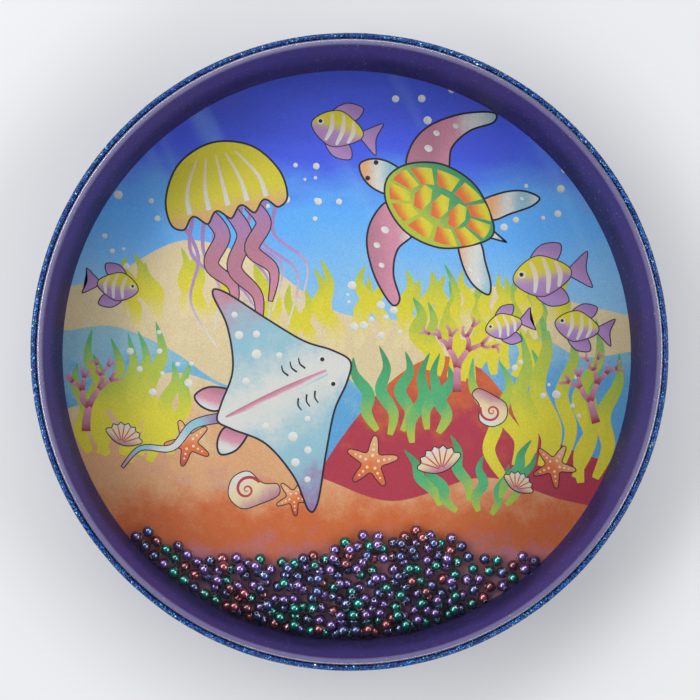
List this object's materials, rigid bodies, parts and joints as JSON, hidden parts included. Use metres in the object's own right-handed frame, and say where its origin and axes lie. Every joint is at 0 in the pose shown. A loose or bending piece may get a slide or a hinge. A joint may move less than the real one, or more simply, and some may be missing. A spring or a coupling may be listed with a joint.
{
  "type": "ocean drum",
  "caption": "Shallow round drum with a clear head, a printed head and a load of loose pearl beads that roll between them with a surf-like wash; glittered wrap round its shell.",
  "frame": {"origin": "on the drum's axis at the foot of the printed head, which the drum lies on", "axes": "+Z is the drum's axis, from the printed head to the clear head; the beads lie on the -Y side"},
  "size_m": [0.3048, 0.3048, 0.057],
  "materials": {
    "shell": "purple lacquer over a bent fibre ring",
    "clear_film": "clear polyester film",
    "printed_film": "polyester film with a printed sea-floor picture",
    "glitter": "blue glitter on a soft strip",
    "violet_pearl": "violet pearl",
    "emerald_pearl": "emerald pearl",
    "navy_pearl": "navy pearl",
    "copper_pearl": "copper pearl"
  },
  "bodies": {
    "drum": {"shell": "shell", "clear_head": "clear_film", "clear_head_collar": "clear_film", "printed_head": "printed_film", "printed_head_collar": "printed_film", "glitter_wrap": "glitter"},
    "bead_bed": {"bed_violet_beads": "violet_pearl", "bed_emerald_beads": "emerald_pearl", "bed_navy_beads": "navy_pearl", "bed_copper_beads": "copper_pearl"},
    "bead_crest": {"crest_violet_beads": "violet_pearl", "crest_emerald_beads": "emerald_pearl", "crest_navy_beads": "navy_pearl", "crest_copper_beads": "copper_pearl"},
    "left_runners": {"left_runner_violet_beads": "violet_pearl", "left_runner_emerald_beads": "emerald_pearl", "left_runner_navy_beads": "navy_pearl", "left_runner_copper_beads": "copper_pearl"},
    "right_runners": {"right_runner_violet_beads": "violet_pearl", "right_runner_emerald_beads": "emerald_pearl", "right_runner_navy_beads": "navy_pearl", "right_runner_copper_beads": "copper_pearl"}
  },
  "joints": [
    {"name": "bead_swirl", "type": "hinge", "parent": "drum", "child": "bead_bed", "pos_m": [0, 0, 0.00355], "axis": [0, 0, 1], "continuous": true},
    {"name": "crest_hop", "type": "slide", "parent": "bead_bed", "child": "bead_crest", "axis": [0, 0, 1], "range_m": [0, 0.0447]},
    {"name": "left_run", "type": "hinge", "parent": "bead_bed", "child": "left_runners", "pos_m": [0, 0, 0.00355], "axis": [0, 0, 1], "range_deg": [-120, 0]},
    {"name": "right_run", "type": "hinge", "parent": "bead_bed", "child": "right_runners", "pos_m": [0, 0, 0.00355], "axis": [0, 0, 1], "range_deg": [0, 120]}
  ]
}
